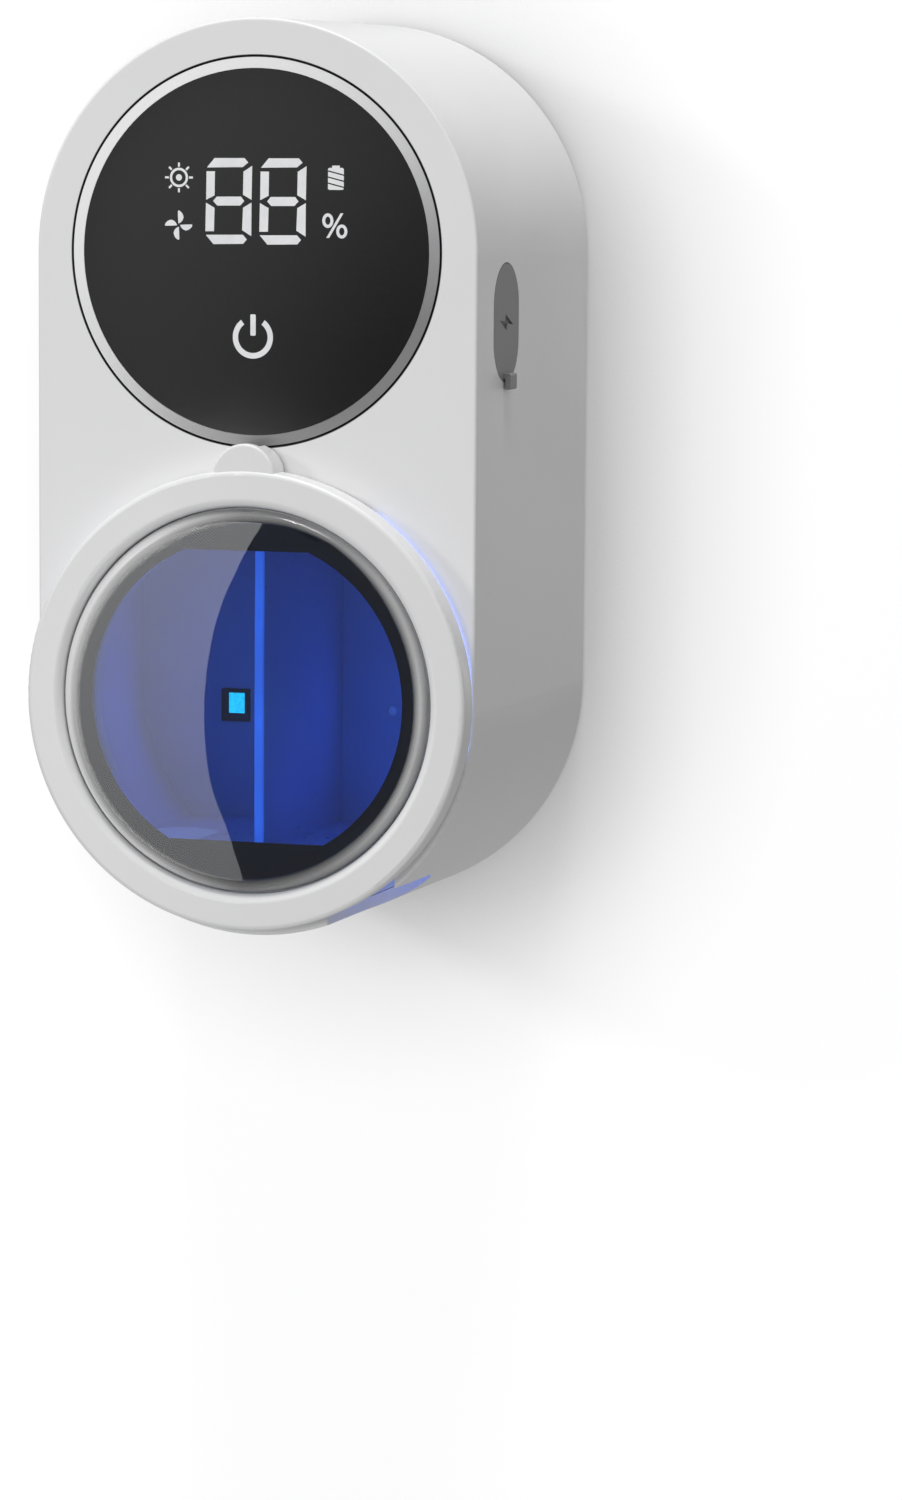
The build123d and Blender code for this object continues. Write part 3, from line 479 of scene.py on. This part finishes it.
def stage_mat(name, color, glow=0.0):
    """Matte studio surface seen from its front only, so that views from behind stay open."""
    m = bpy.data.materials.new(name)
    m.use_nodes = True
    nt = m.node_tree
    nt.nodes.clear()
    out = nt.nodes.new("ShaderNodeOutputMaterial")
    d = nt.nodes.new("ShaderNodeBsdfDiffuse")
    d.inputs[0].default_value = (*color, 1)
    tr = nt.nodes.new("ShaderNodeBsdfTransparent")
    geo = nt.nodes.new("ShaderNodeNewGeometry")
    mix = nt.nodes.new("ShaderNodeMixShader")
    em = nt.nodes.new("ShaderNodeEmission")
    # painted shade: the wall's glow is dimmed by ambient occlusion, darkening the wall where it stands close behind
    # the object
    if glow:
        ao = nt.nodes.new("ShaderNodeAmbientOcclusion")
        ao.samples = 8
        ao.inputs["Distance"].default_value = 0.04
        mul = nt.nodes.new("ShaderNodeMath")
        mul.operation = "MULTIPLY"
        mul.inputs[1].default_value = glow
        soft = nt.nodes.new("ShaderNodeMath")
        soft.operation = "POWER"
        soft.inputs[1].default_value = 1.5
        nt.links.new(ao.outputs["AO"], soft.inputs[0])
        nt.links.new(soft.outputs[0], mul.inputs[0])
        nt.links.new(mul.outputs[0], em.inputs[1])
    else:
        em.inputs[1].default_value = 0.0
    both = nt.nodes.new("ShaderNodeAddShader")
    nt.links.new(d.outputs[0], both.inputs[0])
    nt.links.new(em.outputs[0], both.inputs[1])
    nt.links.new(geo.outputs["Backfacing"], mix.inputs[0])
    nt.links.new(both.outputs[0], mix.inputs[1])
    nt.links.new(tr.outputs[0], mix.inputs[2])
    nt.links.new(mix.outputs[0], out.inputs[0])
    return m


def camera_only(o, shadow=False):
    o.visible_diffuse = False
    o.visible_glossy = False
    o.visible_transmission = False
    o.visible_shadow = shadow
    o.visible_volume_scatter = False


WALL_Y = 0.0003
wall = plane("stage_wall", 6.0, (0, WALL_Y, 0), (math.radians(90), 0, 0), stage_mat("stage_wall_paint", (0.62, 0.62, 0.622), 0.545))
camera_only(wall)
floor = plane("stage_floor", 8.0, (0, 0, -0.9), (0, 0, 0), stage_mat("stage_floor_paint", (0.9, 0.9, 0.9)))
camera_only(floor)

world = bpy.data.worlds.new("studio")
world.use_nodes = True
scene.world = world
bg = world.node_tree.nodes["Background"]
bg.inputs[0].default_value = (1.0, 1.0, 1.0, 1)
WORLD = 0.33
bg.inputs[1].default_value = WORLD


# ------------------------------------------------------------------ lights
def area(name, loc, target, size, power, color=(1, 1, 1), size_y=None, glossy=True):
    l = bpy.data.lights.new(name, "AREA")
    l.shape = "RECTANGLE" if size_y else "SQUARE"
    l.size = size
    if size_y:
        l.size_y = size_y
    l.energy = power
    l.color = color
    o = bpy.data.objects.new(name, l)
    scene.collection.objects.link(o)
    o.location = loc
    o.rotation_mode = "QUATERNION"
    o.rotation_quaternion = (Vector(target) - Vector(loc)).to_track_quat("-Z", "Y")
    o.visible_glossy = glossy
    return o


MID = Vector((0.0, -0.03, 0.0))
area("key", (-1.15, -1.05, 0.50), MID, 0.22, 4.4)
area("top", (0.07, -0.30, 1.48), MID, 0.50, 16.5)
area("front", (-0.26, -1.72, 0.20), MID, 0.45, 7.0, glossy=False)
area("below", (0.15, -0.50, -1.20), MID, 1.0, 2.6, glossy=False)
area("rear", (0.1, 1.4, 0.3), MID, 0.9, 3.0)


def card(name, pts, y, mat):
    """A flat emitting card that only reflections see."""
    me = bpy.data.meshes.new(name)
    me.from_pydata([(x, y, z) for x, z in pts], [], [tuple(range(len(pts)))])
    o = bpy.data.objects.new(name, me)
    scene.collection.objects.link(o)
    me.materials.append(mat)
    o.visible_camera = False
    o.visible_diffuse = False
    o.visible_transmission = False
    o.visible_shadow = False
    o.visible_volume_scatter = False
    return o


def emit_mat(name, stops, origin, direction, length):
    """Emission that runs through stops (position, strength) along a direction in the card's plane."""
    m = bpy.data.materials.new(name)
    m.use_nodes = True
    nt = m.node_tree
    nt.nodes.clear()
    out = nt.nodes.new("ShaderNodeOutputMaterial")
    e = nt.nodes.new("ShaderNodeEmission")
    tc = nt.nodes.new("ShaderNodeTexCoord")
    sub = nt.nodes.new("ShaderNodeVectorMath"); sub.operation = "SUBTRACT"
    sub.inputs[1].default_value = origin
    dot = nt.nodes.new("ShaderNodeVectorMath"); dot.operation = "DOT_PRODUCT"
    d = Vector(direction).normalized()
    dot.inputs[1].default_value = d
    nt.links.new(tc.outputs["Object"], sub.inputs[0])
    nt.links.new(sub.outputs[0], dot.inputs[0])
    mr = nt.nodes.new("ShaderNodeMapRange")
    mr.inputs["From Min"].default_value = -length / 2
    mr.inputs["From Max"].default_value = length / 2
    nt.links.new(dot.outputs["Value"], mr.inputs["Value"])
    cr = nt.nodes.new("ShaderNodeFloatCurve")
    c = cr.mapping.curves[0]
    top = max(s for _, s in stops)
    for i, (p, s) in enumerate(stops):
        if i < 2:
            c.points[i].location = (p, s / top)
        else:
            c.points.new(p, s / top)
    cr.mapping.update()
    nt.links.new(mr.outputs[0], cr.inputs["Value"])
    mul = nt.nodes.new("ShaderNodeMath"); mul.operation = "MULTIPLY"; mul.inputs[1].default_value = top
    nt.links.new(cr.outputs[0], mul.inputs[0])
    nt.links.new(mul.outputs[0], e.inputs["Strength"])
    nt.links.new(e.outputs[0], out.inputs[0])
    return m


# the camera stands where a person looks at the product from the upper right
CAM = Vector((0.24076, -0.74894, 0.04381))
CARD_Y = SHELL_LO.y - 0.12


def seen_in_flat(x, z, y_face):
    """Where a ray from the camera, mirrored in a flat face at y_face, meets the card plane."""
    k = (y_face - CARD_Y) / (y_face - CAM.y)
    return x + (x - CAM.x) * k, z + (z - CAM.z) * k


dc = seen_in_flat(LENS_C.x, LENS_C.z, LENS_LO.y)
dcard = [(dc[0] + 0.0375 * math.cos(a), dc[1] + 0.0375 * math.sin(a)) for a in [2 * math.pi * i / 96 for i in range(96)]]
card("stage_card_display", dcard, CARD_Y, emit_mat("card_display", [(0.0, 0.95), (1.0, 0.04), (0.5, 0.68), (0.75, 0.36)], (dc[0], CARD_Y, dc[1]), (0.71, 0, -0.70), 0.075))

DOME_R = 0.690


def seen_in_dome(x, z):
    """The same for the gently domed window."""
    y = WIN_LO.y
    k = (y - CARD_Y)
    dx, dz = x - WIN_C.x, z - WIN_C.z
    return x + k * ((x - CAM.x) / (y - CAM.y) + 2 * dx / DOME_R), z + k * ((z - CAM.z) / (y - CAM.y) + 2 * dz / DOME_R)


# softbox edge across the window: an arc that bows to the left
ARC = [(0.0046, 0.0290), (-0.0003, 0.0215), (-0.0043, 0.0120), (-0.0062, 0.0), (-0.0055, -0.0120), (-0.0022, -0.0215), (0.0006, -0.0300)]
fine = []
for i in range(len(ARC) - 1):
    p0, p1, p2, p3 = (ARC[max(0, min(len(ARC) - 1, i + k))] for k in (-1, 0, 1, 2))
    for j in range(8):
        u = j / 8
        fine.append(tuple(0.5 * (2 * b + (c - a) * u + (2 * a - 5 * b + 4 * c - d) * u * u + (3 * b - a - 3 * c + d) * u ** 3) for a, b, c, d in zip(p0, p1, p2, p3)))
fine.append(ARC[-1])
arc_pts = [seen_in_dome(WIN_C.x + x, WIN_C.z + z) for x, z in fine]
wc = seen_in_dome(WIN_C.x, WIN_C.z)
rim = []
for i in range(49):
    a = math.radians(95 + 170 * i / 48)
    rim.append((wc[0] + 0.0462 * math.cos(a), wc[1] + 0.0462 * math.sin(a)))
card("stage_card_window", rim + list(reversed(arc_pts)), CARD_Y, emit_mat("card_window", [(0.0, 2.9), (1.0, 4.2)], (wc[0], CARD_Y, wc[1]), (-0.3, 0, 0.95), 0.09))

# lamp light inside the two compartments, and the little that leaks out around the lid
BLUE = (0.055, 0.17, 1.0)
GLASS_X = LED_HI.x - 0.0013
GLASS_Z = (LED_LO.z + LED_HI.z) / 2


def hidden_light(o):
    o.visible_camera = False
    o.visible_transmission = False
    o.visible_glossy = False
    o.parent = frame["bodies"]["housing"]


def point(name, loc, power, radius):
    l = bpy.data.lights.new(name, "POINT")
    l.energy = power
    l.color = BLUE
    l.shadow_soft_size = radius
    o = bpy.data.objects.new(name, l)
    scene.collection.objects.link(o)
    o.location = loc
    hidden_light(o)


for sx, tag in ((-1, "left"), (1, "right")):
    x = sx * GLASS_X
    l = area("lamp_" + tag, (x, LED_LO.y - 0.0010, GLASS_Z), (x * 0.9, -0.06, -0.036), 0.003, 0.0014, BLUE)
    hidden_light(l)
    point("glow_" + tag, (sx * 0.0165, -0.044, -0.020), 0.0002, 0.006)
    point("slot_glow_" + tag, (sx * 0.0178, -0.046, -0.0585), 0.0016 if sx > 0 else 0.0003, 0.003)

RING_C = (0.0, (WIN_LO.z + WIN_HI.z) / 2)


def leak(name, start, end, strength, r=0.0352):
    """A thin ribbon in the gap behind the lid ring that shines outward over the front face."""
    n = 48
    pts = [math.radians(start + (end - start) * i / n) for i in range(n + 1)]
    me = bpy.data.meshes.new(name)
    vs = []
    for y in (-0.06136, -0.06106):
        vs += [(RING_C[0] + r * math.cos(a), y, RING_C[1] + r * math.sin(a)) for a in pts]
    me.from_pydata(vs, [], [(i, i + 1, n + 2 + i, n + 1 + i) for i in range(n)])
    m = bpy.data.materials.new(name)
    m.use_nodes = True
    nt = m.node_tree
    nt.nodes.clear()
    out = nt.nodes.new("ShaderNodeOutputMaterial")
    e = nt.nodes.new("ShaderNodeEmission")
    e.inputs[0].default_value = (0.22, 0.34, 1.0, 1.0)
    e.inputs[1].default_value = strength
    nt.links.new(e.outputs[0], out.inputs[0])
    me.materials.append(m)
    o = bpy.data.objects.new(name, me)
    scene.collection.objects.link(o)
    o.visible_camera = False
    o.visible_glossy = False
    o.visible_transmission = False
    o.visible_shadow = False
    lid = frame["bodies"]["lid"]
    o.parent = lid
    o.matrix_parent_inverse = lid.matrix_world.inverted()


leak("stage_leak_right", -12, 56, 9.0)
leak("stage_leak_left", 128, 172, 4.0)

# ------------------------------------------------------------------ camera
cam = bpy.data.cameras.new("camera")
cam.lens = 112.40
cam.sensor_width = 36.0
cam.sensor_fit = "AUTO"
cam.clip_start = 0.01
cam.clip_end = 50.0
co = bpy.data.objects.new("camera", cam)
scene.collection.objects.link(co)
X = Vector((0.95676, 0.29079, 0.0075)).normalized()
Z = Vector((0.28797, -0.95049, 0.11683)).normalized()
Y = Z.cross(X).normalized()
X = Y.cross(Z).normalized()
R = Matrix((X, Y, Z)).transposed().to_4x4()
co.matrix_world = Matrix.Translation(CAM) @ R
scene.camera = co
